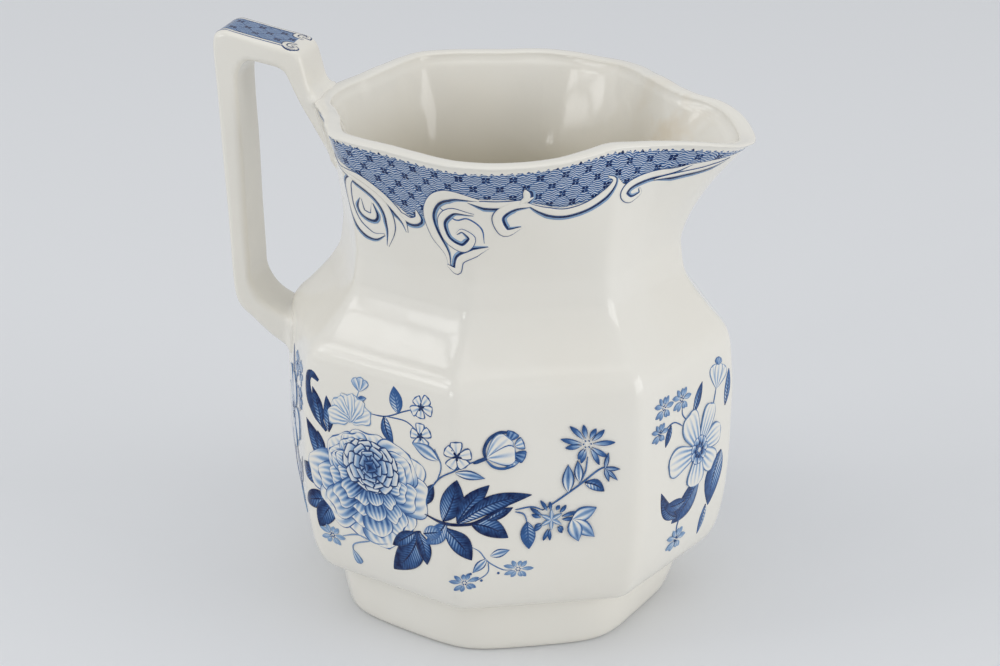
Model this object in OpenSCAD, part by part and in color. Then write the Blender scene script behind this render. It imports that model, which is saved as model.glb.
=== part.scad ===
// Octagonal porcelain cream jug with a square strap handle and printed decoration.
// Frame: millimetres, +Z up. The origin is on the table, at the middle of the whole jug's length and width.
// The jug's own upright axis is a little to the +X side of it. The handle is on -X and the pouring spout on +X.
// The octagon has a corner towards the handle, the spout and each side.

/* [Body] */
// Distance from the origin to the jug's upright axis, along +X
axis_x = 4.8; // [4.4:0.1:5.2]
// Distance from the axis to the belly corners on the handle and spout axis
belly_rx = 43.7; // [38:0.2:48]
// Distance from the axis to the belly corners at front and back
belly_ry = 42; // [37:0.2:47]
// Sharpness of the octagon's vertical edges, where more is sharper
edge_sharpness = 70; // [30:2:90]
// Thickness of the cast wall
wall = 3.2; // [2.6:0.1:3.6]
// Height where the neck is narrowest and the mouth begins to flare
waist_z = 73; // [72:0.5:75]
// Height of the body's underside, which sits on the foot
body_z0 = 9.6; // [9.2:0.1:10]
// Height of the floor inside
floor_z = 13.4; // [12.5:0.1:14.5]
// How much the neck leans towards the spout, as a share of its size
neck_lean = 0.013; // [0:0.001:0.02]

/* [Mouth and spout] */
// Curve of the flare, from 1 for straight to 2 for late and quick
flare = 1.6; // [1.2:0.1:2]
// Height of the rounded top edge of the wall
lip_h = 1.7; // [1.2:0.1:2.2]

/* [Foot] */
// Height of the foot, the same as the body's underside
foot_h = 9.6; // [9.2:0.1:10]
// Size of the hollow under the foot, as a share of the belly
foot_hollow = 0.68; // [0.6:0.01:0.7]

/* [Handle] */
// Width of the strap across the jug
strap_w = 12; // [9:0.5:12]
// Radius of the strap's long edges
strap_edge = 1.3; // [0.8:0.1:1.6]

/* [Printed decoration] */
// Thickness of a printed transfer under its glaze
print_t = 0.15; // [0.1:0.05:0.3]

/* [Hidden] */

ivory = [0.91, 0.9, 0.86];
ivory_shade = [0.86, 0.85, 0.8];
slip = [0.88, 0.86, 0.8];
ink = [0.27, 0.38, 0.62];
ink_pale = [0.55, 0.64, 0.8];

// The waist's size as a share of the belly, outside and inside
waist_share = 0.758;
inner_waist_share = waist_share - wall / belly_ry;
// The outer wall below the waist: [height, share of the belly's corner distance]
foot_profile = [
    [0, 0.79], [0.8, 0.802], [3, 0.82], [5.5, 0.828], [8, 0.825], [foot_h, 0.818]
];
belly_profile = [
    [body_z0, 0.818], [10.6, 0.875], [12, 0.93], [14.5, 0.968], [18, 0.992], [24, 1.012],
    [34, 1.022], [44, 1.022], [50, 1.012], [53.5, 1.003], [55.8, 0.988], [57.4, 0.964],
    [59.3, 0.92], [61.8, 0.868], [64.8, 0.813], [68, 0.775], [waist_z, waist_share]
];
// The inner wall below the waist, from the waist down to the floor
inner_profile = [
    [waist_z, inner_waist_share], [67, 0.71], [63.5, 0.755], [59.5, 0.84], [56, 0.905],
    [50, 0.936], [34, 0.945], [22, 0.925], [16, 0.86], [floor_z, 0.72]
];
// The mouth's outline over half a turn: [degrees from the spout, distance, height]
rim = [
    [0, 46, 93.8], [10, 44.8, 94.8], [22.5, 39.8, 96.7], [35, 35.4, 97.5], [45, 34.9, 98.1],
    [55, 36.6, 98], [67.5, 38.9, 97.6], [80, 40.2, 97.5], [90, 40.7, 97.7], [100, 39.2, 97.9],
    [112, 38.3, 98.1], [128, 39.2, 98.2], [145, 35.8, 98.1], [158, 35, 97.7], [170, 36.2, 97.2],
    [180, 36.7, 97]
];
// How far up the flare each row of the mouth lies
flare_rows = [0.15, 0.3, 0.45, 0.6, 0.75, 0.88];
// The rounded lip: [step in from the rim, step down from the rim], in lip heights
lip = [
    [0.03, 0.55], [0.4, 0.08], [0.95, 0], [1.5, 0.08], [1.85, 0.6]
];
inner_flare_rows = [0.8, 0.5, 0.2];

// Columns round the jug, with more of them at the eight corners
sector = [-4, -1.3, 1.3, 4, 10, 22.5, 35];
angles = [for (k = [0:7]) for (o = sector) 45 * k + o];
cols = len(angles);

// Distance to an octagon with corners on the axes, where s is its share of the belly
function octagon_r(a, s) =
    let (u = cos(a) / (s * belly_rx), v = sin(a) / (s * belly_ry))
    let (terms = [for (k = [0:7])
        pow(max(0, (cos(22.5 + 45 * k) * u + sin(22.5 + 45 * k) * v) / cos(22.5)), edge_sharpness)])
    pow(terms * [for (k = [0:7]) 1], -1 / edge_sharpness);
// The lean of the neck, which fades out down the shoulder
shoulder_z = 58;
lean_h = 10;
function lean(a, z) = 1 + neck_lean * cos(a) * min(1, max(0, (z - shoulder_z) / lean_h));
// Angle from the spout, the same on both sides
function from_spout(a) = acos(cos(a));
function rim_r(a) = lookup(from_spout(a), [for (p = rim) [p[0], p[1]]]);
function rim_z(a) = lookup(from_spout(a), [for (p = rim) [p[0], p[2]]]);
function at(a, r, z) = [axis_x + r * cos(a), r * sin(a), z];
// A point of the flare, t of the way from the waist to the rim
function flare_r(a, t) = let (w = pow(t, flare))
    octagon_r(a, waist_share) * lean(a, waist_z) * (1 - w) + rim_r(a) * w;
function flare_z(a, t) = waist_z + (rim_z(a) - waist_z) * t;
function inner_flare_r(a, t) = let (w = pow(t, flare))
    octagon_r(a, inner_waist_share) * lean(a, waist_z) * (1 - w) + (rim_r(a) - wall) * w;

function row_of(s, z, grow = 0) = [for (a = angles) at(a, octagon_r(a, s) * lean(a, z) + grow, z)];
function flare_row(t, grow = 0) = [for (a = angles) at(a, flare_r(a, t) + grow, flare_z(a, t))];
function inner_flare_row(t) = [for (a = angles) at(a, inner_flare_r(a, t), flare_z(a, t))];
function lip_row(p) = [for (a = angles) at(a, rim_r(a) - p[0] * lip_h, rim_z(a) - p[1] * lip_h)];

// The whole outer wall up to the lip, raised by grow
function outer_rows(grow = 0) = concat(
    [for (p = belly_profile) row_of(p[1], p[0], grow)],
    [for (t = flare_rows) flare_row(t, grow)]
);
// The vessel's wall: up the outside, over the lip and down the inside to the floor
wall_rows = concat(
    outer_rows(),
    [for (p = lip) lip_row(p)],
    [for (t = inner_flare_rows) inner_flare_row(t)],
    [for (p = inner_profile) row_of(p[1], p[0])]
);
waist_out = len(belly_profile) - 1;
waist_in = len(wall_rows) - len(inner_profile);
last_row = len(wall_rows) - 1;

// The spout is the part of the mouth between these columns
spout_from = 53;
spout_to = 62;

function corner(i, j) = i * cols + j % cols;
function cell(i, j) = [
    [corner(i, j), corner(i + 1, j), corner(i + 1, j + 1)],
    [corner(i, j), corner(i + 1, j + 1), corner(i, j + 1)]
];
function flat(list) = [for (part = list) for (f = part) f];
function turned(list) = [for (i = [len(list) - 1:-1:0]) list[i]];
function in_spout(i, j) = i >= waist_out && i < waist_in && (j >= spout_from || j < spout_to - cols);

// The faces where the spout's piece and the body's piece meet, as the body sees them
spout_seam = concat(
    [[for (i = [waist_out:waist_in]) corner(i, spout_from)]],
    [[for (i = [waist_in:-1:waist_out]) corner(i, spout_to)]],
    [for (j = [spout_from:spout_to - 1])
        [corner(waist_out, j + 1), corner(waist_out, j), corner(waist_in, j), corner(waist_in, j + 1)]]
);

// A closed plate between a grid of points and the same grid raised, rows by columns
module plate(low, high) {
    m = len(low);
    n = len(low[0]);
    top = m * n;
    skins = [for (i = [0:m - 2]) for (j = [0:n - 2])
        let (a = i * n + j, b = a + 1, d = a + n, c = d + 1)
        [[a, c, d], [a, b, c], [top + a, top + d, top + c], [top + a, top + c, top + b]]];
    edge = concat(
        [for (j = [0:n - 2]) [j, j + 1]],
        [for (j = [n - 2:-1:0]) [(m - 1) * n + j + 1, (m - 1) * n + j]],
        [for (i = [m - 2:-1:0]) [(i + 1) * n, i * n]],
        [for (i = [0:m - 2]) [(i + 1) * n - 1, (i + 2) * n - 1]]
    );
    rims = [for (e = edge) [[top + e[0], top + e[1], e[1]], [top + e[0], e[1], e[0]]]];
    polyhedron(points = flat(concat(low, high)), faces = concat(flat(skins), flat(rims)), convexity = 8);
}

// The part of a set of rows between two rows and two columns
function patch(rows, i0, i1, j0, j1) = [for (i = [i0:i1]) [for (j = [j0:j1]) rows[i][j % cols]]];

// A printed transfer that lies on the outer wall
module transfer(i0, i1, j0, j1, tone) {
    color(tone)
        plate(patch(outer_rows(), i0, i1, j0, j1), patch(outer_rows(print_t), i0, i1, j0, j1));
}

module body() {
    cells = [for (i = [0:last_row - 1]) for (j = [0:cols - 1]) if (!in_spout(i, j)) cell(i, j)];
    caps = [[for (j = [0:cols - 1]) corner(0, j)], [for (j = [cols - 1:-1:0]) corner(last_row, j)]];
    color(ivory)
        polyhedron(points = flat(wall_rows), faces = concat(flat(cells), caps, spout_seam), convexity = 10);
}

module spout() {
    cells = [for (i = [waist_out:waist_in - 1]) for (j = [spout_from:spout_to - 1]) cell(i, j)];
    seam = [for (f = spout_seam) turned(f)];
    color(ivory_shade)
        polyhedron(points = flat(wall_rows), faces = concat(flat(cells), seam), convexity = 10);
}

// The foot stands on a flat ring at z = 0 and is hollow underneath
module foot_ring() {
    rows = concat(
        [for (p = foot_profile) row_of(p[1], p[0])],
        [row_of(foot_hollow - 0.05, foot_h), row_of(foot_hollow, 0)]
    );
    n = len(rows);
    cells = [for (i = [0:n - 2]) for (j = [0:cols - 1]) cell(i, j)];
    sole = [for (j = [0:cols - 1])
        [[corner(n - 1, j), corner(0, j), corner(0, j + 1)],
         [corner(n - 1, j), corner(0, j + 1), corner(n - 1, j + 1)]]];
    color(ivory_shade)
        polyhedron(points = flat(rows), faces = concat(flat(cells), flat(sole)), convexity = 6);
}

// The strap in side view, from the belly up and round to the rim:
// [outer x, outer z, inner x, inner z], with x from the jug's axis
strap = [
    [-45.1, 47.6, -45.1, 52.8],
    [-51.6, 53.4, -48.6, 57],
    [-53.4, 56.6, -50, 60.6],
    [-54.4, 80, -50.8, 80],
    [-55.3, 104.5, -51.2, 100.2],
    [-55, 107.6, -50.7, 102.5],
    [-53.2, 109, -49.4, 103.4],
    [-41.3, 106.5, -43.6, 102.4],
    [-39.3, 105.4, -41.7, 101.2],
    [-38.4, 103, -40.2, 98.6],
    [-37.5, 98.4, -34.9, 85.5]
];
belly_root = strap[0];
rim_root = strap[len(strap) - 1];

// One cut through the strap, a rectangle with three points at each rounded corner
function strap_cut(p) =
    let (half = strap_w / 2, depth = norm([p[0] - p[2], p[1] - p[3]]), e = strap_edge)
    let (bend = e * (1 - cos(45)))
    let (low = [[half, e], [half - bend, bend], [half - e, 0]])
    let (side = concat(low, [for (q = turned(low)) [-q[0], q[1]]]))
    let (all = concat(side, [for (q = turned(side)) [q[0], depth - q[1]]]))
    [for (q = all) let (share = q[1] / depth)
        [axis_x + p[2] + (p[0] - p[2]) * share, q[0], p[3] + (p[1] - p[3]) * share]];

module handle() {
    cuts = [for (p = strap) strap_cut(p)];
    m = len(cuts);
    n = len(cuts[0]);
    sides = [for (i = [0:m - 2]) for (j = [0:n - 1])
        let (a = i * n + j, b = i * n + (j + 1) % n, d = a + n, c = b + n)
        [[a, c, d], [a, b, c]]];
    ends = [[for (j = [n - 1:-1:0]) j], [for (j = [0:n - 1]) (m - 1) * n + j]];
    color(ivory)
        polyhedron(points = flat(cuts), faces = concat(flat(sides), ends), convexity = 6);
}

// Columns that the handle's two joints cover, either side of the handle's corner
joint_from = 27;
joint_to = 32;
// Rows of the outer wall that each joint covers
lower_joint_rows = [7, 9];
upper_joint_rows = [19, 22];
// How far each joint stays inside the strap's rounded edges
joint_inset = 0.4;
// How far the upper joint stops below the top of the strap's end, clear of the lip
lip_clearance = 1;

// The slip between the wall and the flat end of the strap, whose end runs from p up to q
module slip_joint(rows, p, q) {
    low = patch(outer_rows(), rows[0], rows[1], joint_from, joint_to);
    steps = rows[1] - rows[0];
    last = joint_to - joint_from;
    high = [for (i = [0:steps]) let (share = i / steps, reach = low[i][0][1])
        [for (j = [0:last])
            [axis_x + p[0] + (q[0] - p[0]) * share,
             low[i][j][1] * (strap_w / 2 - joint_inset) / reach,
             p[1] + (q[1] - p[1]) * share]]];
    color(slip)
        plate(low, high);
}

module upper_handle_joint() {
    top = [rim_root[0], rim_root[1]];
    bottom = [rim_root[2], rim_root[3]];
    share = 1 - lip_clearance / (top[1] - bottom[1]);
    slip_joint(upper_joint_rows, bottom, bottom + (top - bottom) * share);
}

module lower_handle_joint() {
    slip_joint(lower_joint_rows, [belly_root[0], belly_root[1]], [belly_root[2], belly_root[3]]);
}

// Rows that the border and the sprays cover
border_low = 18;
border_high = 22;
spray_low = 3;
spray_high = 9;

module border_print_front() {
    transfer(border_low, border_high, joint_to, cols, ink);
}

module border_print_back() {
    transfer(border_low, border_high, cols + 3, cols + joint_from, ink);
}

// The large spray at the back is the front one turned half round, and starts over the spout-side edge
module spray_print_front() {
    transfer(spray_low, spray_high, 35, 49, ink_pale);
}

module spray_print_back() {
    transfer(spray_low, spray_high, 7, 21, ink_pale);
}

module spout_spray_print_front() {
    transfer(spray_low, spray_high, 53, 55, ink_pale);
}

module spout_spray_print_back() {
    transfer(spray_low, spray_high, 4, 6, ink_pale);
}

module handle_spray_print_front() {
    transfer(spray_low, spray_high, 32, 34, ink_pale);
}

module handle_spray_print_back() {
    transfer(spray_low, spray_high, 25, 27, ink_pale);
}

// The band on the flat top of the handle
module handle_top_print() {
    from = strap[6];
    to = strap[7];
    run = norm([to[0] - from[0], to[1] - from[1]]);
    slope = atan2(from[1] - to[1], to[0] - from[0]);
    band_w = strap_w - 2 * strap_edge;
    color(ink)
        translate([axis_x + from[0], 0, from[1]])
            rotate([0, slope, 0])
                translate([0, -band_w / 2, 0])
                    cube([run, band_w, print_t]);
}

body();
foot_ring();
spout();
handle();
upper_handle_joint();
lower_handle_joint();
border_print_front();
border_print_back();
handle_top_print();
spray_print_front();
spray_print_back();
spout_spray_print_front();
spout_spray_print_back();
handle_spray_print_front();
handle_spray_print_back();
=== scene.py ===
import math

import bpy
import numpy as np
from mathutils import Matrix, Vector


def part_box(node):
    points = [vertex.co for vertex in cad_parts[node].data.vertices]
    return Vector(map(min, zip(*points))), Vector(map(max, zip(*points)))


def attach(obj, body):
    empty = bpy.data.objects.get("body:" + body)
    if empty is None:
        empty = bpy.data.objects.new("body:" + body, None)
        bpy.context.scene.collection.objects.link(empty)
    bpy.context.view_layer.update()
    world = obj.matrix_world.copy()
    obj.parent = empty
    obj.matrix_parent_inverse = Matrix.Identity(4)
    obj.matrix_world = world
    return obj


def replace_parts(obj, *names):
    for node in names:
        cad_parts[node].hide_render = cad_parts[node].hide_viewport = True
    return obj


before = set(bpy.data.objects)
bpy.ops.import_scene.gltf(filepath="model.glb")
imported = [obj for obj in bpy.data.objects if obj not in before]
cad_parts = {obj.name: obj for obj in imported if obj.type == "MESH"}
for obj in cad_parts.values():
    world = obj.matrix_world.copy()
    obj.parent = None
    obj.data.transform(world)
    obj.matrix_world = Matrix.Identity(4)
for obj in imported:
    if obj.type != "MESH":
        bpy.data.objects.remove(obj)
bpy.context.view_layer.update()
MM = 0.001

# ---------------------------------------------------------------- the jug's surface, in millimetres

SHARP_BELLY = 70
SHARP_NECK = 60
SHARP_FOOT = 18
FOOT_TAPER = 0.075
CORNER_PULL = 2 ** (-1 / SHARP_BELLY)
BELLY_SHARE = 1.022
BODY_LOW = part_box("body")[0] / MM
FOOT_LOW, FOOT_HIGH = (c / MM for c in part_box("foot_ring"))
AXIS_X = (FOOT_LOW.x + FOOT_HIGH.x) / 2
BELLY_RX = (AXIS_X - BODY_LOW.x) / (BELLY_SHARE * CORNER_PULL)
BELLY_RY = -BODY_LOW.y / (BELLY_SHARE * CORNER_PULL)
WAIST_Z = 73.0
RIM_S = 100.0
WALL = 3.2
FLARE = 1.6
LIP = 0.95
SHADED_ROWS = 30
NECK_LEAN = 0.013
SHOULDER_Z = 58.0
LEAN_H = 10.0
WAIST_SHARE = 0.758

FOOT_PROFILE = [
    (0, 0.803), (0.25, 0.815), (0.7, 0.825), (1.6, 0.833), (3.2, 0.838), (5.5, 0.842), (8, 0.84),
    (9.1, 0.838), (10.1, 0.836)
]
BELLY_PROFILE = [
    (9.6, 0.818), (10.0, 0.845), (10.6, 0.875), (12, 0.93), (14.5, 0.968), (18, 0.992), (24, 1.012),
    (34, 1.022), (44, 1.022), (50, 1.012), (53.5, 1.003), (55.8, 0.988), (57.4, 0.964), (59.3, 0.92),
    (61.8, 0.868), (64.8, 0.813), (68, 0.775), (WAIST_Z, WAIST_SHARE)
]
INNER_SHARE = WAIST_SHARE - WALL / BELLY_RY
INNER_PROFILE = [
    (13.4, 0.72), (13.8, 0.77), (16, 0.86), (22, 0.925), (34, 0.945), (50, 0.936), (56, 0.905), (59.5, 0.84),
    (63.5, 0.755), (67, 0.71), (WAIST_Z, INNER_SHARE)
]
RIM = [
    (0, 46, 93.8), (8, 45, 94.5), (15, 43.2, 95.7), (21, 40.6, 96.6), (27, 37.2, 97), (35, 35.4, 97.5),
    (45, 34.9, 98.1), (55, 36.6, 98), (65, 38.6, 97.7), (75, 39.6, 97.5), (84, 40.6, 97.6), (90, 40.7, 97.7),
    (96, 40, 97.8), (104, 38.7, 97.9), (112, 38.3, 98.1), (121, 38.8, 98.2), (129, 39.2, 98.2),
    (138, 37.4, 98.2), (148, 35.4, 98.1), (158, 35, 97.7), (170, 36.2, 97.2), (180, 36.7, 97)
]
NORMALS = np.radians(22.5 + 45 * np.arange(8))


def smooth_curve(points, column):
    """A smooth function through the points, with no overshoot."""
    x = np.array([p[0] for p in points], float)
    y = np.array([p[column] for p in points], float)
    step, rise = np.diff(x), np.diff(y)
    slope = rise / step
    tangent = np.zeros(len(x))
    same = slope[:-1] * slope[1:] > 0
    w1, w2 = 2 * step[1:] + step[:-1], step[1:] + 2 * step[:-1]
    with np.errstate(divide="ignore", invalid="ignore"):
        inner = (w1 + w2) / (w1 / slope[:-1] + w2 / slope[1:])
    tangent[1:-1] = np.where(same, inner, 0)
    tangent[0], tangent[-1] = slope[0], slope[-1]

    def value(q):
        q = np.clip(q, x[0], x[-1])
        i = np.clip(np.searchsorted(x, q) - 1, 0, len(x) - 2)
        t = (q - x[i]) / step[i]
        return (
            y[i] * (1 + 2 * t) * (1 - t) ** 2 + y[i + 1] * t * t * (3 - 2 * t)
            + step[i] * (tangent[i] * t * (1 - t) ** 2 - tangent[i + 1] * t * t * (1 - t))
        )

    return value


foot_share = smooth_curve(FOOT_PROFILE, 1)
belly_share = smooth_curve(BELLY_PROFILE, 1)
inner_share = smooth_curve(INNER_PROFILE, 1)
WHOLE_RIM = [(-d, r, z) for d, r, z in RIM[:0:-1]] + RIM + [(360 - d, r, z) for d, r, z in RIM[-2:-5:-1]]
rim_r_at = smooth_curve(WHOLE_RIM, 1)
rim_z_at = smooth_curve(WHOLE_RIM, 2)


def from_spout(a):
    return np.degrees(np.arccos(np.clip(np.cos(a), -1, 1)))


def rim_r(a):
    return rim_r_at(from_spout(a))


def rim_z(a):
    return rim_z_at(from_spout(a))


def octagon_r(a, share, sharp=SHARP_BELLY):
    """Distance to an octagon with its corners on the axes."""
    u, v = np.cos(a) / (share * BELLY_RX), np.sin(a) / (share * BELLY_RY)
    total = 0
    for n in NORMALS:
        total = total + np.maximum(0, (np.cos(n) * u + np.sin(n) * v) / math.cos(math.pi / 8)) ** sharp
    return total ** (-1 / sharp)


def at(a, r, z):
    """A point in the row frame, from its angle and distance about the jug's own axis."""
    return np.stack(np.broadcast_arrays(AXIS_X + r * np.cos(a), r * np.sin(a), z), -1)


def neck_lean(a, z):
    return 1 + NECK_LEAN * np.cos(a) * np.clip((z - SHOULDER_Z) / LEAN_H, 0, 1)


def flare_to(a, s, r, rim):
    """The mouth's flare: r at the waist grows to the rim's distance."""
    t = np.clip((s - WAIST_Z) / (RIM_S - WAIST_Z), 0, 1)
    z = np.minimum(s, WAIST_Z)
    w = t ** FLARE
    return at(a, r * (1 - w) + rim * w, z + (rim_z(a) - WAIST_Z) * t)


def outer(a, s):
    """The outer wall at angle a. s is the height up to the waist, and runs on to 100 at the rim."""
    a, s = np.broadcast_arrays(np.asarray(a, float), np.asarray(s, float))
    z = np.minimum(s, WAIST_Z)
    sharp = SHARP_BELLY + (SHARP_NECK - SHARP_BELLY) * np.clip((z - SHOULDER_Z) / 12, 0, 1)
    return flare_to(a, s, octagon_r(a, belly_share(z), sharp) * neck_lean(a, z), rim_r(a))


def inner(a, s):
    a, s = np.broadcast_arrays(np.asarray(a, float), np.asarray(s, float))
    z = np.minimum(s, WAIST_Z)
    return flare_to(a, s, octagon_r(a, inner_share(z), 24) * neck_lean(a, z), rim_r(a) - WALL)


def outward(surface, a, s):
    """Unit normals of a surface function."""
    a, s = np.broadcast_arrays(np.asarray(a, float), np.asarray(s, float))
    da, ds = 0.002, 0.05
    across = surface(a + da, s) - surface(a - da, s)
    up = surface(a, s + ds) - surface(a, s - ds)
    n = np.cross(across, up)
    return n / np.linalg.norm(n, axis=-1, keepdims=True)


# ---------------------------------------------------------------- meshes

FROM_CORNER = [0.35, 0.8, 1.4, 2.2, 3.2, 4.4, 5.8, 7.3, 8.8, 10.3, 11.8, 13.3, 14.8, 16.3, 17.8, 19.3, 20.9]
CORNER_STEPS = [-d for d in FROM_CORNER[::-1]] + [0] + FROM_CORNER + [22.5]
COLUMNS = np.radians([45 * k + d for k in range(8) for d in CORNER_STEPS])


def mesh_piece(name, points, faces, material):
    """A piece from points in millimetres."""
    mesh = bpy.data.meshes.new(name)
    mesh.from_pydata([tuple(p) for p in np.asarray(points, float) * MM], [], faces)
    mesh.validate()
    mesh.update()
    mesh.shade_smooth()
    piece = bpy.data.objects.new(name, mesh)
    bpy.context.scene.collection.objects.link(piece)
    mesh.materials.append(material)
    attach(piece, "root")
    return piece


def loft(rows, closed_ends=True):
    """Points and faces of rings joined one to the next. Every ring runs the same way round."""
    n = len(rows[0])
    points = np.concatenate(rows)
    faces = [
        (i * n + j, i * n + (j + 1) % n, (i + 1) * n + (j + 1) % n, (i + 1) * n + j)
        for i in range(len(rows) - 1) for j in range(n)
    ]
    if closed_ends:
        faces.append(tuple(range(n - 1, -1, -1)))
        faces.append(tuple((len(rows) - 1) * n + j for j in range(n)))
    return points, faces


def disc_rows(ring, z, shares):
    """Rings that shrink towards the axis, to close a floor."""
    centre = np.array([AXIS_X, 0, z])
    return [centre + (ring - centre) * [k, k, 0] for k in shares]


def build_wall(material):
    """The vessel in one cast piece: underside, outer wall, rounded lip, inner wall and floor."""
    heights = np.concatenate([
        [9.6, 9.75, 9.95, 10.2, 10.5, 10.9, 11.4, 12, 12.7, 13.5, 14.5, 15.8, 17.3], np.arange(19, 50, 2.5),
        np.arange(50, 54, 0.8), np.arange(54, 61, 0.45), np.arange(61, 72, 0.8),
        np.arange(72.4, 98.8, 0.9), [99]
    ])
    rows = [outer(COLUMNS, s) for s in heights]
    bottom = disc_rows(rows[0], 9.6, [0.3, 0.6, 0.9])
    for t in (0.05, 0.12, 0.2, 0.32, 0.45, 0.58, 0.7, 0.8, 0.88, 0.95, 1):
        turn = math.pi * t
        step_in = WALL / 2 * (1 - math.cos(turn))
        height = -LIP * (1 - math.sin(turn) ** 0.5)
        rows.append(at(COLUMNS, rim_r(COLUMNS) - step_in, rim_z(COLUMNS) + height))
    down = np.concatenate([np.arange(98, 73, -1.0), np.arange(72, 15, -1.3), [14.6, 14, 13.6, 13.4]])
    rows += [inner(COLUMNS, s) for s in down]
    rows += disc_rows(rows[-1], 13.4, [0.9, 0.6, 0.3])
    points, faces = loft(bottom + rows)
    piece = mesh_piece("jug_wall", points, faces, material)
    # painted shade: the inner wall and floor carry an amount of painted shade that grows over SHADED_ROWS
    # rows down from the lip
    depth = np.zeros(len(points) // len(COLUMNS))
    depth[-len(down) - 3:] = np.minimum(1, np.arange(len(down) + 3) / SHADED_ROWS) ** 1.6
    inside = piece.data.attributes.new("inside", "FLOAT", "POINT")
    inside.data.foreach_set("value", np.repeat(depth, len(COLUMNS)).astype(np.float32))
    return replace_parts(piece, "body", "spout")


def build_foot(material):
    """The foot: a flat standing ring, hollow underneath."""
    heights = [0, 0.1, 0.25, 0.45, 0.8, 1.3, 2, 3, 4, 5, 6, 7, 8, 8.6, 9.1, 9.5, 9.8, 10.1]
    rows = []
    for z in heights:
        drawn_in = 1 - FOOT_TAPER * np.cos(COLUMNS) ** 4 * (1 - z / heights[-1])
        rows.append(at(COLUMNS, octagon_r(COLUMNS, foot_share(z), SHARP_FOOT) * drawn_in, z))
    hollow = [(10.1, 0.62), (9.5, 0.625), (6, 0.645), (2, 0.665), (0.6, 0.68), (0.15, 0.69), (0, 0.705)]
    rows += [at(COLUMNS, octagon_r(COLUMNS, share, 40), z) for z, share in hollow]
    rows.append(rows[0])
    points, faces = loft(rows, closed_ends=False)
    n = len(COLUMNS)
    last = (len(rows) - 1) * n
    faces = [tuple(v - last if v >= last else v for v in f) for f in faces]
    piece = mesh_piece("foot", points[:last], faces, material)
    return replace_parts(piece, "foot_ring")


# ---------------------------------------------------------------- the handle

STRAP_HALF = 6.0
STRAP_EDGE = 1.3
FACET_SLOPE = math.tan(math.pi / 8)
# Side view of the strap from the jug's axis:
# outer x, outer z, inner x, inner z, share that follows the facets
STRAP = [
    (-41.0, 43.6, -41.0, 53.0, 1), (-43.4, 46.2, -43.4, 52.9, 0.6), (-46.2, 48.6, -45.2, 54.0, 0.15),
    (-49.6, 51.9, -47.2, 55.5, 0), (-51.9, 54.0, -48.9, 57.6, 0), (-53.0, 56.4, -49.9, 60.2, 0),
    (-53.5, 61.0, -50.0, 64.0, 0), (-53.9, 72.0, -50.3, 73.0, 0), (-54.5, 84.0, -50.5, 84.0, 0),
    (-55.0, 96.0, -50.9, 94.4, 0), (-55.4, 104.0, -51.0, 99.4, 0), (-55.4, 106.8, -50.7, 101.2, 0),
    (-54.9, 108.4, -50.0, 102.6, 0), (-53.2, 109.1, -49.1, 103.3, 0), (-51.0, 108.7, -48.0, 103.5, 0),
    (-46.0, 107.6, -45.7, 103.1, 0), (-41.2, 106.6, -43.0, 102.5, 0), (-39.4, 106.0, -41.6, 101.6, 0),
    (-38.3, 104.8, -40.8, 100.2, 0), (-37.5, 102.2, -40.0, 98.4, 0), (-36.8, 98.9, -38.7, 95.4, 0.1),
    (-35.4, 95.6, -37.3, 91.9, 0.4), (-33.7, 91.0, -35.6, 87.8, 0.75), (-32.0, 86.0, -32.6, 83.2, 0.85)
]


def catmull(points, steps):
    """Points with smooth ones added between them."""
    p = np.asarray(points, float)
    p = np.concatenate([[2 * p[0] - p[1]], p, [2 * p[-1] - p[-2]]])
    made = []
    for i in range(1, len(p) - 2):
        a, b, c, d = p[i - 1:i + 3]
        for t in np.arange(steps) / steps:
            made.append(0.5 * (2 * b + (c - a) * t + (2 * a - 5 * b + 4 * c - d) * t * t
                               + (3 * b - a - 3 * c + d) * t ** 3))
    return np.array(made + [p[-2]])


def strap_section(depth):
    """Points round the strap's cut as [across, outward from its inner face], and their outward directions."""
    half, edge = STRAP_HALF, min(STRAP_EDGE, depth * 0.4)
    points, normals = [], []
    corners = [(half - edge, edge, -90), (half - edge, depth - edge, 0), (edge - half, depth - edge, 90),
               (edge - half, edge, 180)]
    for i, (y, d, start) in enumerate(corners):
        for t in np.radians(start + np.linspace(0, 90, 7)):
            points.append((y + edge * math.cos(t), d + edge * math.sin(t)))
            normals.append((math.cos(t), math.sin(t)))
        after = corners[(i + 1) % 4]
        turn = math.radians(start + 90)
        first = np.array(points[-1])
        last = np.array([after[0] + edge * math.cos(turn), after[1] + edge * math.sin(turn)])
        for k in np.arange(1, 9) / 9:
            points.append(tuple(first + (last - first) * k))
            normals.append((math.cos(turn), math.sin(turn)))
    return np.array(points), np.array(normals)


def wall_gap(p):
    """How far points are from the outer wall and the lip."""
    x, y, z = p[:, 0] - AXIS_X, p[:, 1], p[:, 2]
    a, r = np.arctan2(y, x), np.hypot(x, y)
    s = np.where(z > WAIST_Z, WAIST_Z + (z - WAIST_Z) / (rim_z(a) - WAIST_Z) * (RIM_S - WAIST_Z), z)
    skin = outer(a, s)
    beside = r - np.hypot(skin[:, 0] - AXIS_X, skin[:, 1])
    lip_z = rim_z(a) - LIP
    over = np.hypot(r - rim_r(a) + WALL / 2, z - lip_z) - WALL / 2
    return np.where(z > lip_z, over, beside)


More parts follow.
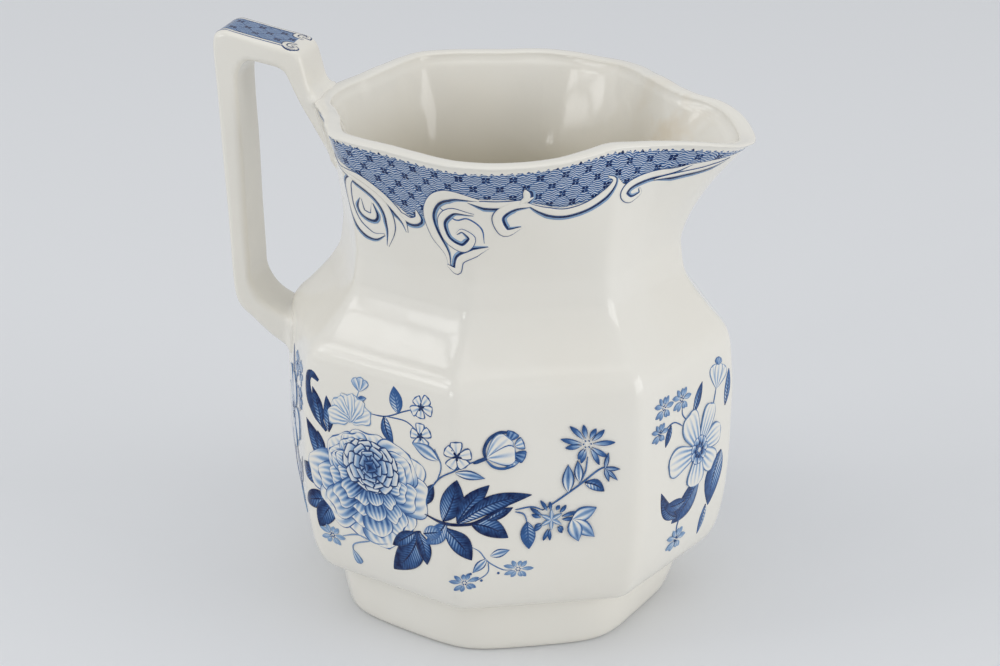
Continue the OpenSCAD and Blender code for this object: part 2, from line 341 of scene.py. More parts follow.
def build_handle(material, fillet=2.2):
    """The square strap handle, with its ends spread onto the belly and the neck."""
    rings = []
    for ox, oz, ix, iz, follow in catmull(STRAP, 7):
        low, high = np.array([ix, 0, iz]), np.array([ox, 0, oz])
        depth = np.linalg.norm(high - low)
        out = (high - low) / depth
        section, normals = strap_section(depth)
        across = np.array([0.0, 1.0, 0.0])
        ring = low + section[:, :1] * across + section[:, 1:] * out + [AXIS_X, 0, 0]
        ring[:, 0] += FACET_SLOPE * np.abs(ring[:, 1]) * follow
        gap = np.clip(wall_gap(ring) / fillet, 0, 1)
        spread = fillet * (1 - np.sqrt(1 - (1 - gap) ** 2)) * 0.8
        push = normals[:, :1] * across + normals[:, 1:] * out
        ring += push * spread[:, None] * [0.35, 1, 0.35]
        rings.append(ring)
    points, faces = loft(rings)
    piece = mesh_piece("handle_strap", points, faces, material)
    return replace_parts(piece, "handle", "upper_handle_joint", "lower_handle_joint")


# ---------------------------------------------------------------- printed decoration

INK_SINK = 0.03
INK_LIFT = 0.03
INK_LAYER = 0.0035
FRONT = math.radians(270)
ROUND = np.radians(np.arange(90, 451, 0.1))
NECK_PRINT_S = 92.0
NECK_TOP_S = 98.9
STRAP_TOP = catmull(STRAP, 9)[99:181]
PETAL_SHAPES = {
    "round": lambda t: t ** 0.75 * np.sqrt(np.maximum(0, 1 - t ** 5)) / 0.72,
    "wide": lambda t: t ** 0.5 * np.sqrt(np.maximum(0, 1 - t ** 7)) / 0.86,
    "point": lambda t: np.sin(np.pi * t ** 0.85),
    "blade": lambda t: np.sin(np.pi * t ** 1.15) ** 0.8,
}


STROKE_STEP = 0.42
SCROLL_LAYER = 0.014


def arc_lengths(s):
    """Millimetres round the ware at height s for every angle in ROUND, from the front corner."""
    steps = np.linalg.norm(np.diff(outer(ROUND, s), axis=0), axis=1)
    arc = np.concatenate([[0], np.cumsum(steps)])
    return arc - np.interp(FRONT, ROUND, arc)


BELLY_ARC = arc_lengths(40.0)
NECK_ARC = arc_lengths(NECK_PRINT_S)


def on_belly(turn=0.0):
    """A map from a flat drawing to the wall: x is round the belly from the front corner, y is the height."""
    def place(x, y, lift):
        a = np.interp(x, BELLY_ARC, ROUND) + turn
        return outer(a, y) + outward(outer, a, y) * lift

    return place


def on_neck(hand):
    """A map from a flat drawing to the neck: x is round it from the front corner, y is minus the way down."""
    def place(x, y, lift):
        a = np.interp(x, NECK_ARC, ROUND) * hand
        s = NECK_TOP_S + y
        return outer(a, s) + outward(outer, a, s) * lift

    return place


def on_strap_top(x, y, lift):
    """A map from a flat drawing to the handle's top: x runs along it to the neck, y is across."""
    ox, oz, ix, iz, _ = STRAP_TOP.T
    arc = np.concatenate([[0], np.cumsum(np.hypot(np.diff(ox), np.diff(oz)))])
    px, pz, qx, qz = (np.interp(x, arc, v) for v in (ox, oz, ix, iz))
    deep = np.hypot(px - qx, pz - qz)
    over = np.clip((np.abs(y) - STRAP_HALF + STRAP_EDGE) / STRAP_EDGE, 0, 0.98)
    drop = lift - STRAP_EDGE * (1 - np.sqrt(1 - over ** 2))
    return np.stack([AXIS_X + px + (px - qx) / deep * drop, y + 0 * x, pz + (pz - qz) / deep * drop], -1)


def direction(angle):
    a = math.radians(angle)
    return np.array([math.cos(a), math.sin(a)])


class Print:
    """A transfer print: thin closed plates laid over one another, drawn flat and wrapped onto the ware."""

    def __init__(self, place, hand=1):
        self.place = place
        self.hand = hand
        self.points, self.looks, self.flats, self.faces = [], [], [], []
        self.count = 0
        self.lift = INK_LIFT

    def plate(self, x, y, tone, hatch=0.0, stripe=0.0, weave=0.0):
        """One plate over a grid of flat points. tone is the ink, 0 to 1, hatch the strength of its lines."""
        looks = np.stack([np.broadcast_to(v, x.shape) for v in (tone, hatch, stripe)], -1)
        flats = np.stack([x, y, np.broadcast_to(weave, x.shape)], -1)
        along, across = np.diff(flats[:, :-1], axis=0), np.diff(flats[:-1], axis=1)
        area = (along[..., 0] * across[..., 1] - along[..., 1] * across[..., 0]).sum() * self.hand
        if area < 0:
            x, y, looks, flats = x[:, ::-1], y[:, ::-1], looks[:, ::-1], flats[:, ::-1]
        m, n = x.shape
        top, low = self.place(x, y, self.lift), self.place(x, y, -INK_SINK)
        for kept, one, other in (
                (self.points, top, low), (self.looks, looks, looks), (self.flats, flats, flats)):
            kept.append(np.concatenate([one, other[:, ::-1]], 1).reshape(-1, 3))
        k = 2 * n
        for i in range(m - 1):
            for j in range(k):
                a, b = self.count + i * k + j, self.count + i * k + (j + 1) % k
                self.faces.append((a, a + k, b + k, b))
        self.faces.append(tuple(self.count + j for j in range(k)))
        self.faces.append(tuple(self.count + (m - 1) * k + j for j in range(k - 1, -1, -1)))
        self.count += m * k
        self.lift += INK_LAYER

    def line(self, points, width, tone=0.8, ends=(0.3, 0.3), shift=0.0):
        """A stroke through a few points, thinner at its ends. shift moves it sideways, to its left."""
        points = np.asarray(points, float)
        p = catmull(points, 8) if len(points) > 2 else points
        arc = np.concatenate([[0], np.cumsum(np.linalg.norm(np.diff(p, axis=0), axis=1))])
        even = np.linspace(0, arc[-1], max(5, int(arc[-1] / STROKE_STEP) + 2))
        p = np.column_stack([np.interp(even, arc, p[:, i]) for i in (0, 1)])
        way = np.gradient(p, axis=0)
        way /= np.linalg.norm(way, axis=1, keepdims=True) + 1e-9
        t = np.linspace(0, 1, len(p))
        fade = np.minimum(ends[0] + t / 0.3, np.minimum(1, ends[1] + (1 - t) / 0.3))[:, None]
        left = np.column_stack([-way[:, 1], way[:, 0]])
        v = np.linspace(-1, 1, max(2, int(width / STROKE_STEP) + 2))
        both = (p + left * shift * fade)[:, None] + (left * width / 2 * fade)[:, None] * v[None, :, None]
        self.plate(both[..., 0], both[..., 1], tone)

    def dot(self, x, y, radius, tone=0.8):
        """A small round dot."""
        turn = np.radians([0, 45, 90, 135, 180])[:, None]
        v = np.array([[-1, 1]])
        self.plate(x + radius * np.cos(turn) + 0 * v, y + v * np.maximum(0.03, radius * np.sin(turn)), tone)

    def petal(self, x, y, angle, length, width, tone=(0.5, 0.03), shape="round", edge=0.5, streaks=3,
              bend=0.0, wave=0.0, hatch=0.25, edge_w=0.2, rise=0.5):
        """A petal from its foot at x, y, shaded to its tip, with dark streaks and an outline."""
        ahead, side = direction(angle), direction(angle + 90)
        rows, cols = max(7, int(length / 0.5) + 3), max(3, int(width / 0.45) | 1)
        rim, tip = min(0.6, 2 * edge_w / width), edge_w / length
        t = (1 - np.cos(np.pi * np.linspace(0, 1, rows))) / 2
        t = np.sort(np.append(t[(t < 1 - 1.5 * tip) | (t == 1)], [1 - tip, 1 - 1.5 * tip]))[:, None]
        v = np.linspace(1.4 * rim - 1, 1 - 1.4 * rim, cols)
        v = np.concatenate([[-1, rim - 1], v, [1 - rim, 1]])[None, :]
        half = width / 2 * np.maximum(0.012, PETAL_SHAPES[shape](t))
        along, across = length * t + 0 * v, v * half
        reach = np.hypot((along / length - 0.55) / 0.45, across * 2 / width)
        turn = np.arctan2(across * length, (along - 0.55 * length) * width)
        frill = 1 + wave * np.sin(5 * turn + 0.05 * angle) * np.clip(reach, 0, 1) ** 2
        along = 0.55 * length + (along - 0.55 * length) * frill
        across = across * frill + bend * length * t * t
        shade = tone[0] + (tone[1] - tone[0]) * t ** rise + 0 * v
        drawn = (np.abs(v) > 1 - 1.2 * rim) | (t > 1 - 1.2 * tip)
        lines = np.where(drawn, 0, hatch * (1 - t) ** 0.5)
        self.plate(x + along * ahead[0] + across * side[0], y + along * ahead[1] + across * side[1],
                   np.where(drawn & (edge > 0), edge, shade), lines, (v + 0.2) * math.pi * max(1, streaks))

    def leaf(self, x, y, tip_x, tip_y, width, tone=(0.98, 0.42), bend=0.0, hatch=0.3, rib=0.95, lit=1):
        """A leaf from its foot to its tip: dark at its tip and one edge, hatched where the light falls."""
        length, angle = math.hypot(tip_x - x, tip_y - y), math.degrees(math.atan2(tip_y - y, tip_x - x))
        ahead, side = direction(angle), direction(angle + 90)
        rows, cols = max(12, int(length / 0.4)), max(9, int(width / 0.4) | 1)

        def spot(t, v):
            half = width / 2 * np.maximum(0.012, np.sin(np.pi * t ** 0.9) ** 0.85)
            along = length * t
            across = v * half + bend * length * np.sin(np.pi * t)
            return x + along * ahead[0] + across * side[0], y + along * ahead[1] + across * side[1]

        t, v = (1 - np.cos(np.pi * np.linspace(0, 1, rows)[:, None])) / 2, np.linspace(-1, 1, cols)[None, :]
        px, py = spot(t, v)
        light = np.clip(1.3 - 1.5 * t, 0, 1) ** 0.7
        light = light * (0.5 + 0.5 * np.tanh(3 * (lit * v + 0.25))) * (1 - v ** 6)
        shade = tone[0] + (tone[1] - tone[0]) * light
        self.plate(px, py, shade, hatch * light, (t * length - np.abs(v) * width * 0.4) * 9)
        along = np.linspace(0, 0.8, 7)
        rx, ry = spot(along, 0 * along)
        self.line(np.column_stack([rx, ry]), 0.3, rib, (1, 0.1))

    def pale_leaf(self, x, y, tip_x, tip_y, width, bend=0.0, dark=0.7):
        """A small pale leaf with a fine outline and a darker tip."""
        length, angle = math.hypot(tip_x - x, tip_y - y), math.degrees(math.atan2(tip_y - y, tip_x - x))
        self.petal(x, y, angle, length, width, (0.2, dark - 0.2), "point", dark, 2, bend, rise=1.4)

    def ring(self, count):
        """Steps through a ring of petals, each over or under the next, then lifts the layers above them."""
        base = self.lift
        for k in range(count):
            self.lift = base + INK_LAYER * (2 if k == count - 1 and count % 2 else k % 2)
            yield k
        self.lift = base + 3 * INK_LAYER

    def daisy(self, x, y, radius, petals=9, tone=(0.1, 0.8), squash=0.9, turn=0.0, start=0.2, width=0.19):
        """A starry flower of narrow petals that are darkest at their tips."""
        for k in self.ring(petals):
            angle = turn + 360 / petals * k + 8 * math.sin(3 * k)
            reach = radius * (0.84 + 0.16 * math.sin(5 * k + 1))
            reach *= math.hypot(math.cos(math.radians(angle)), squash * math.sin(math.radians(angle)))
            foot = direction(angle) * radius * start
            self.petal(x + foot[0], y + foot[1], angle, reach - radius * start, radius * width, tone, "blade",
                       tone[1] * 0.75, 1, 0.12 * math.sin(2 * k), hatch=0.1, edge_w=0.16, rise=1.3)
        for k in range(6):
            spot = direction(k * 60) * radius * 0.13
            self.dot(x + spot[0], y + spot[1], 0.13, 0.6)

    def small_flower(self, x, y, radius, tone=(0.3, 0.02), edge=0.62, turn=90.0, petals=5):
        """An open flower of five round petals round a dark star."""
        for k in self.ring(petals):
            angle = turn + 360 / petals * k + 9 * math.sin(4 * k + x)
            length = radius * (1 + 0.1 * math.sin(3 * k + y))
            self.petal(x, y, angle, length, radius * 0.92, tone, "round", edge, 2, 0, 0.04, edge_w=0.22)
        for k in self.ring(petals):
            end = np.array([x, y]) + direction(turn + 360 / petals * (k + 0.5)) * radius * 0.36
            self.line([(x, y), tuple(end)], 0.42, min(1, edge + 0.3), (1, 0.2))

    def round_bud(self, x, y, size):
        """A round bud, its two pale petals held in a dark scalloped cup."""
        arc = [(x + size * math.cos(t), y + size * math.sin(t)) for t in np.radians([205, 175, 140, 105, 75])]
        self.line(arc, 0.6, 0.85, (0.5, 0.5))
        for turn, reach, tone in ((62, 0.34, 0.8), (20, 0.34, 0.3), (-22, 0.4, 0.85), (-60, 0.3, 0.5)):
            lobe = np.array([x, y]) + direction(turn) * size * 0.62
            self.petal(*lobe, turn, size * reach * 1.5, size * 0.75, (tone, tone * 0.5), "wide", 0.7, 3)
        foot_x, foot_y = x - size * 0.85, y - size * 0.35
        self.petal(foot_x, foot_y, 48, size * 1.55, size * 1.15, (0.25, 0.02), "round", 0.45, 3, -0.08)
        self.petal(foot_x, foot_y, 2, size * 1.5, size * 1.2, (0.2, 0.02), "round", 0.65, 2, 0.05)
        under = [(x + size * math.cos(t), y + size * math.sin(t)) for t in np.radians([210, 240, 270, 300])]
        self.line(under, 0.45, 0.6, (0.4, 0.4))
        self.line([(foot_x - size * 0.7, foot_y - size * 0.25), (foot_x, foot_y)], 0.7, 0.8, (0.3, 1))

    def bloom(self, x, y, size):
        """A full double flower, seen from a little below, in rings of petals round a tight heart."""
        rings = [
            (9, 1.0, 0.76, 0.00, 0.9, 0.6, 1.4), (10, 0.86, 0.56, 0.03, 0.95, 0.6, 1.9),
            (11, 0.71, 0.42, 0.10, 1.0, 0.6, 2.0), (12, 0.58, 0.32, 0.19, 1.0, 0.7, 1.8)
        ]
        for r, (petals, reach, width, up, dark, edge, rise) in enumerate(rings):
            for k in self.ring(petals):
                angle = 90 + 360 / petals * (k + 0.5 * r) + 6 * math.sin(7 * k + r)
                length = size * reach * math.hypot(math.cos(math.radians(angle)),
                                                   0.84 * math.sin(math.radians(angle)))
                length *= 1 + 0.07 * math.sin(4 * k + r)
                self.petal(x, y + size * up, angle, length, size * width * (1 + 0.12 * math.sin(5 * k)),
                           (dark, -0.05), "wide", edge, 5, 0.05 * math.sin(3 * k), 0.06, 0.32, 0.22, rise)
        heart_x, heart_y = x + 0.04 * size, y + size * 0.33
        scales = [(13, 0.5, 0.95), (11, 0.41, 1.0), (9, 0.31, 1.0), (7, 0.21, 1.0), (4, 0.12, 1.0)]
        for r, (petals, reach, dark) in enumerate(scales):
            for k in self.ring(petals):
                angle = 20 + 360 / petals * (k + 0.5 * r) + 7 * math.sin(5 * k + r)
                length = size * reach * math.hypot(math.cos(math.radians(angle)),
                                                   0.78 * math.sin(math.radians(angle)))
                self.petal(heart_x, heart_y, angle, length, size * (0.29 - 0.022 * r), (dark, -0.1), "round",
                           0.9, 0, 0, 0, 0, 0.3, 1.6)

    def scroll(self, points, width, ends=(0.2, 0.2), turned=1):
        """A white ribbon with a fine outline, and a dark and a pale stroke along its lower side."""
        base = self.lift
        strokes = ((0.95, width, 0.34), (0.55, width, 0.98), (0, width + 0.34, 0.72), (0, width, -0.1))
        for i, (shift, wide, tone) in enumerate(strokes):
            self.lift = base + SCROLL_LAYER * i
            self.line(points, wide, tone, ends, -turned * shift)
        self.lift = base + INK_LAYER / 2

    def finish(self, name, material, node):
        piece = mesh_piece(name, np.concatenate(self.points), self.faces, material)
        for key, rows in (("ink", self.looks), ("flat", self.flats)):
            kept = piece.data.attributes.new(key, "FLOAT_VECTOR", "POINT")
            kept.data.foreach_set("vector", np.concatenate(rows).ravel().astype(np.float32))
        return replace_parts(piece, node)


def leaves_of_large_spray(art):
    """The dark leaves that stand out from behind the bloom on both sides."""
    art.lift = INK_LIFT
    hook = [(-28.6, 42), (-31.2, 45.4), (-33.2, 48.6), (-33.7, 51.2), (-32.6, 52.3), (-30.8, 51.4)]
    art.line(hook, 1.9, 0.9)
    for x, y, tx, ty, w in [
            (-29.6, 42.6, -32.2, 50, 2.2), (-28, 42, -28.8, 49, 2.4), (-29.4, 34.4, -33.6, 43.4, 3),
            (-29.6, 36, -30.7, 41.6, 1.8), (-28, 31, -37, 33, 4), (-28, 28, -35.5, 25.6, 4),
            (-27, 28, -31.6, 21.4, 4.4)]:
        art.leaf(x, y, tx, ty, w, bend=-0.05)
    for x, y, tx, ty, w, bend, lit in [
            (-6.3, 33.4, -4.4, 38, 2.4, 0, 1), (-2.2, 31.2, 0.5, 39.9, 4.4, -0.05, 1),
            (0.5, 31.4, 6.3, 38.6, 3.5, 0.06, -1), (3, 31.2, 9.8, 27.8, 3.7, 0.08, 1),
            (-1.8, 30, 3.1, 23.6, 3.9, 0.06, -1), (-7.4, 27.6, -14.3, 17.3, 5.6, 0.08, 1),
            (-7.8, 27.4, -6.1, 20.9, 3.3, 0.05, 1), (-8.6, 27, -13.9, 22.8, 2.8, 0, 1),
            (6, 31.6, 10.6, 33.9, 1.8, 0, 1)]:
        art.leaf(x, y, tx, ty, w, bend=bend, lit=lit)
    art.leaf(0.6, 31.3, 14, 36.2, 3.3, (0.98, 0.4), 0.09, 0.4, lit=-1)
    art.leaf(-1.6, 31, -6, 25.4, 3.2, (0.6, 0.35), 0.05)
    art.leaf(-6.6, 27.4, -2.4, 29, 2.8, (0.55, 0.35))
    art.line([(-6.2, 31.5), (-3, 30.9), (0.7, 31), (3.8, 31.3), (7.7, 33.4), (11.6, 35.6)], 0.55, 0.98)


def sprigs_of_large_spray(art):
    """The small flowers on fine stems, from the left of the bloom across to the next facet."""
    art.lift = INK_LIFT
    art.line([(-19, 48), (-15, 48.4), (-11, 50.3), (-8, 51.6)], 0.26, 0.65)
    art.line([(-15, 48.4), (-10.6, 48.6), (-8, 47.4)], 0.24, 0.65)
    art.line([(-22, 47), (-21.8, 50), (-21.2, 52)], 0.24, 0.4)
    art.leaf(-12.2, 49.6, -13.6, 54.4, 3, (0.65, 0.3), rib=0.6)
    art.leaf(-15.4, 48.4, -13.2, 43.4, 2.4, (0.8, 0.25), bend=-0.08)
    art.small_flower(-7.2, 52, 2.4, turn=60)
    art.small_flower(-7.2, 46.6, 2.4, turn=100)
    for lean in (55, 90, 125):
        art.petal(-21.2, 51.6, lean, 2.8, 1.6, (0.35, 0.12), "round", 0.4, 1)
    art.petal(-21.6, 50, 20, 2.2, 1.2, (0.6, 0.3), "point", 0.6, 1)
    for k in range(5):
        art.petal(-23, 45.5, 30 + 36 * k, 5.2, 4, (0.35, 0.04), "wide", 0.35, 4, wave=0.12)
    art.line([(-5.5, 36), (-3, 39.5), (0, 41.6), (2.5, 43), (5, 43.8)], 0.28, 0.65)
    art.line([(-3.6, 38.6), (-2.6, 42), (-4, 45)], 0.2, 0.5)
    art.pale_leaf(-3.2, 43, -8.6, 45.6, 2.8, 0.12, 0.6)
    art.pale_leaf(0.2, 41.3, 5.6, 40.5, 1.8, -0.1, 0.75)
    art.small_flower(0.5, 44.5, 2.7, (0.08, 0.02), 0.75, 90)
    art.round_bud(8.8, 45.2, 3.5)
    art.line([(11, 33), (12.6, 32.4), (13.2, 30.6)], 0.24, 0.6)
    art.line([(11, 33.4), (14, 33.8), (16, 33)], 0.22, 0.6)
    art.leaf(13.2, 30.8, 13.6, 25.2, 2.8, (0.7, 0.4), rib=0.7)
    art.line([(16, 33), (18.9, 34.9), (22.8, 37.7), (26.6, 40.6), (29.4, 40.4)], 0.28, 0.6)
    art.line([(22.4, 37.4), (23.6, 40), (24, 43)], 0.24, 0.55)
    art.pale_leaf(20.6, 36.3, 20.5, 41.7, 2.3, 0, 0.8)
    art.pale_leaf(22.6, 38.2, 22.2, 42.4, 1.7, 0, 0.8)
    art.leaf(23.6, 38, 27.2, 36, 2.2, (0.8, 0.15), bend=0.1, lit=-1)
    for tip in ((27.8, 43.6), (30, 40.2), (29.6, 38), (28, 37.8)):
        art.pale_leaf(27.2, 40.5, *tip, 0.9, 0, 0.8)
    art.daisy(23.9, 45.5, 5.2, 11, (0.1, 0.9))
    art.daisy(17.6, 31, 5, 14, (0.3, 0.95), turn=15, start=0.4, width=0.15)
    for k in range(6):
        art.petal(17.6, 31, 30 + 60 * k, 2.2, 0.8, (0.0, 0.1), "point", 0.4, 0)
    for lean, length in ((25, 4.9), (-42, 5.8), (-74, 4.8)):
        art.petal(21.4, 30.8, lean, length, 2.8, (0.12, 0.5), "point", 0.6, 2, rise=1.3)


def pale_sprigs_of_large_spray(art):
    """The pale sprigs that hang under the bloom."""
    art.lift = INK_LIFT
    art.line([(3, 26.4), (4.6, 25.2), (6.1, 23), (8.8, 21.1), (10.6, 20.9)], 0.24, 0.5)
    art.line([(6.1, 23.2), (6, 20.6), (3.6, 18.8)], 0.22, 0.5)
    art.pale_leaf(6.5, 24.2, 10.1, 25.2, 1.8, 0, 0.7)
    art.pale_leaf(5.8, 23.6, 3.2, 20.8, 1.8, 0, 0.7)
    art.daisy(11.7, 21, 3, 9, (0.15, 0.55), width=0.3)
    art.daisy(1.6, 18.7, 3.1, 9, (0.2, 0.62), turn=20, width=0.3)
    for x, y in ((4.8, 19), (8, 20.4), (2.8, 20.6)):
        art.dot(x, y, 0.25, 0.7)
    art.line([(-15, 22.6), (-18, 21.8), (-22, 22.4), (-26, 21)], 0.26, 0.4)
    art.line([(-19, 22), (-23.4, 20), (-24, 18)], 0.26, 0.4)
    art.petal(-24, 18.6, -66, 3.2, 2, (0.25, 0.4), "round", 0.45, 2)
    art.daisy(-28.6, 20.4, 3.2, 9, (0.2, 0.42), width=0.32)


def large_spray(art):
    """The large bloom with its leaves, and sprays of small flowers that run across to the next facet."""
    leaves_of_large_spray(art)
    sprigs_of_large_spray(art)
    pale_sprigs_of_large_spray(art)
    art.lift = 3 * INK_LIFT
    art.petal(-10.6, 33.4, 72, 8.6, 5.6, (0.5, 0.0), "round", 0.5, 4)
    art.bloom(-18.9, 33.2, 13.3)


def small_spray(art, side=1, bud=True):
    """A narcissus with stars and drooping leaves. side turns it over. There is no bud beside the handle."""
    def at_x(x):
        return side * x

    def turned(angle):
        return angle if side > 0 else 180 - angle

    for x, y, tx, ty, w, tone, bend in [
            (54.8, 30, 45.6, 23.8, 5.4, (0.9, 0.5), 0.08), (47.6, 24.4, 41, 32, 3, (0.95, 0.6), 0.12),
            (50, 27, 42.8, 28.4, 2.6, (0.85, 0.5), 0.05), (62.4, 33, 59.4, 22.2, 6, (0.8, 0.3), -0.08),
            (51.4, 44.4, 54.8, 49.6, 2.2, (0.85, 0.35), 0), (43.6, 44.8, 41.8, 41, 1.9, (0.85, 0.5), 0),
            (58.4, 22.8, 57.5, 16.6, 2, (0.6, 0.25), 0)]:
        art.leaf(at_x(x), y, at_x(tx), ty, w, tone, bend=bend * side, lit=side)
    art.line([(at_x(50), 43), (at_x(47.6), 45.4), (at_x(47.4), 47)], 0.24, 0.6)
    art.line([(at_x(48), 43), (at_x(44.6), 45), (at_x(41.4), 44.6)], 0.24, 0.6)
    art.line([(at_x(49), 25), (at_x(48), 22.6), (at_x(48), 21)], 0.3, 0.6)
    if bud:
        art.leaf(at_x(63), 42, at_x(64.6), 49, 2, (0.6, 0.3), bend=0, lit=side)
        art.line([(at_x(57), 40), (at_x(58.6), 44), (at_x(59.6), 47)], 0.26, 0.5)
        for lean in (-28, 28, 0):
            art.petal(at_x(59.6), 46.6, turned(72 + lean), 5, 3, (0.3, 0.04), "round", 0.4, 2)
        for lean in (-34, 0, 34):
            art.petal(at_x(60.6), 51, turned(72 + lean), 1.6, 1.4, (0.6, 0.3), "wide", 0.5, 0)
    for x, y, radius, tone in ((41.2, 49, 3.4, (0.3, 0.6)), (47.3, 48.6, 3.4, (0.3, 0.55)),
                               (39.6, 44.6, 2.9, (0.3, 0.6)), (48.2, 19.4, 3.6, (0.3, 0.45))):
        art.daisy(at_x(x), y, radius, 9, (0.15, tone[1]), width=0.3)
    for angle, length, width in ((178, 10.6, 6), (118, 9.6, 6), (62, 9.2, 4.6), (12, 8, 5), (-40, 7.6, 5),
                                 (-98, 7.4, 6)):
        art.petal(at_x(53.7), 36.2, turned(angle), length, width, (0.55, 0.0), "round", 0.45, 4,
                  wave=0.03, rise=0.45)
    for k in range(9):
        art.petal(at_x(53.7), 36.2, 40 * k, 3, 2, (0.85, 0.0), "wide", 0.6, 0, rise=1.2)
    for k in range(8):
        spot = direction(45 * k) * 1.3
        art.dot(at_x(53.7) + spot[0], 36.2 + spot[1], 0.42, 0.85)
    art.dot(at_x(53.7), 36.2, 0.5, 0.1)


# Lower edge of the neck's woven ground: along the neck, and down from the lip
GROUND_EDGE = [
    (-47, 0.8), (-42, 2.2), (-36, 3.6), (-31, 4.6), (-26, 5.6), (-23, 6.6), (-20, 8.4), (-16, 11.4),
    (-12, 14), (-9.4, 13), (-7.6, 9), (-5, 6.4), (-1, 5.6), (2, 6.6), (9, 7), (14, 8.6), (18.4, 9.8),
    (22.6, 9.4), (26, 7.6), (28.6, 5.6), (30.4, 7), (33, 6.2), (37.4, 5.2), (43.6, 3.9), (50, 2.4),
    (57, 0.9)
]
# Ribbons of the neck border: their width, which side is shaded, and points along them, x and y as on the neck
RIBBONS = [
    (0.9, 1, [(-46, -1.4), (-41, -3), (-35.6, -4.8), (-30.6, -6), (-26, -7.4)]),
    (1.7, -1, [(-20.6, -19.6), (-23.8, -20.4), (-27, -18.4), (-28.2, -14.4), (-26.8, -10), (-23.6, -7.6)]),
    (1.9, 1, [(-28.6, -6.6), (-24, -8), (-20, -10.6), (-18.2, -14), (-18.4, -18), (-20.2, -22)]),
    (1.3, -1, [(-21.6, -13), (-22.4, -16), (-25, -15.4), (-24.4, -12.6)]),
    (1.6, 1, [(-27, -6.6), (-22.6, -7.6), (-18.8, -10), (-16, -13), (-14.6, -15.4), (-14.3, -17.8)]),
    (1.3, 1, [(-15.6, -13.4), (-13, -14.8), (-10.8, -14), (-10.8, -12)]),
    (2.0, -1, [(3, -7), (-1.6, -6.2), (-5.6, -8), (-8, -12), (-7.4, -16.4), (-5, -20), (-4.4, -22.6)]),
    (1.5, -1, [(-5, -22.8), (-2.6, -23.6), (-1.6, -21), (1.4, -19.2), (4.2, -18)]),
    (1.3, -1, [(1.8, -10.4), (-2.2, -10), (-5.2, -13), (-4.4, -17), (-0.8, -18.4), (1.2, -16), (-0.6, -14.2),
               (-2, -15.2)]),
    (1.4, 1, [(1, -7.4), (5, -8), (10, -7.8), (12.4, -6.6)]),
    (1.7, -1, [(12.4, -8.6), (8.6, -8.4), (6, -11), (7.4, -14.6), (10.6, -13.6)]),
    (1.2, 1, [(10, -8), (11.2, -6.6), (10.8, -4.6)]),
    (1.4, 1, [(11, -7.8), (14.4, -9.8), (18.6, -11), (23, -10.2), (26.6, -8), (28, -5.8), (26.6, -4.8)]),
    (1.3, -1, [(43.8, -3.8), (40.6, -5.2), (36, -5.9), (31.8, -7.2), (30.4, -9.2), (32.4, -10.6),
               (34.8, -9.6), (34.4, -8.4)]),
    (0.7, -1, [(52.4, -2.6), (47.4, -4.8), (42, -6.2), (37.4, -7)]),
]


def neck_border(art):
    """A woven ground that hangs from the lip, edged with white scrolls."""
    x = np.arange(-47, 57.1, 0.2)
    low = smooth_curve(GROUND_EDGE, 1)(x)
    top = 0.6 + 0.22 * np.sin(4.3 * x) + 0.18 * np.sin(7.7 * x + 1) + 0.35 * np.cos(x / 9)
    share = np.linspace(0, 1, 9)[None, :]
    y = -(low[:, None] + (np.minimum(top, low - 0.3) - low)[:, None] * share)
    art.plate(x[:, None] + 0 * y, y, 0.0, weave=1.0)
    art.line([(-5.6, -9.4), (-2, -12), (0.6, -11.4), (3, -13.6), (3.4, -17)], 0.3, 0.6)
    for width, turned, points in RIBBONS:
        art.scroll(points, width, turned=turned)


def strap_band(art):
    """The same ground along the handle's top, between white lines that end in small scrolls."""
    start, end = 1.4, 16.2
    x = np.linspace(start, end, 44)[:, None]
    v = np.linspace(-1, 1, 17)[None, :]
    half = 4 * np.sqrt(np.clip((x - start) / 1.2, 0.02, 1)) * np.clip((end + 0.6 - x) / 1.6, 0.2, 1)
    art.plate(x + 0 * v, v * half, 0.12, weave=1.0)
    for hand in (1, -1):
        edge = [(start - 0.2, hand * 4.2), (7, hand * 4.5), (end - 0.8, hand * 4.5)]
        art.line(edge, 1.0, 0.75, (0.5, 1))
        art.line(edge, 0.6, 0.0, (0.5, 1))
        curl = [(end + 0.8, hand * 1.8), (end - 1.0, hand * 2.6), (end - 0.8, hand * 4.6),
                (end + 0.9, hand * 4.9), (end + 1.3, hand * 3.6), (end + 0.2, hand * 3.4)]
        art.line(curl, 1.25, 0.9, (0.4, 0.5))
        art.line(curl, 0.75, 0.0, (0.4, 0.5))


# ---------------------------------------------------------------- materials

def new_material(name):
    material = bpy.data.materials.new(name)
    material.use_nodes = True
    tree = material.node_tree
    return material, tree, tree.nodes["Principled BSDF"]


def noise(tree, scale, detail=2.0, vector=None):
    node = tree.nodes.new("ShaderNodeTexNoise")
    node.inputs["Scale"].default_value = scale
    node.inputs["Detail"].default_value = detail
    if vector is not None:
        tree.links.new(vector, node.inputs["Vector"])
    return node.outputs["Fac"]


def object_coordinates(tree):
    return tree.nodes.new("ShaderNodeTexCoord").outputs["Object"]


def remap(tree, value, low, high, to_low, to_high):
    node = tree.nodes.new("ShaderNodeMapRange")
    tree.links.new(value, node.inputs["Value"])
    for key, v in (("From Min", low), ("From Max", high), ("To Min", to_low), ("To Max", to_high)):
        node.inputs[key].default_value = v
    return node.outputs["Result"]


def mix_colours(tree, factor, a, b):
    node = tree.nodes.new("ShaderNodeMix")
    node.data_type = "RGBA"
    for socket, value in ((node.inputs["Factor"], factor), (node.inputs["A"], a), (node.inputs["B"], b)):
        if isinstance(value, bpy.types.NodeSocket):
            tree.links.new(value, socket)
        elif isinstance(value, (int, float)):
            socket.default_value = value
        else:
            socket.default_value = (*value, 1)
    return node.outputs["Result"]


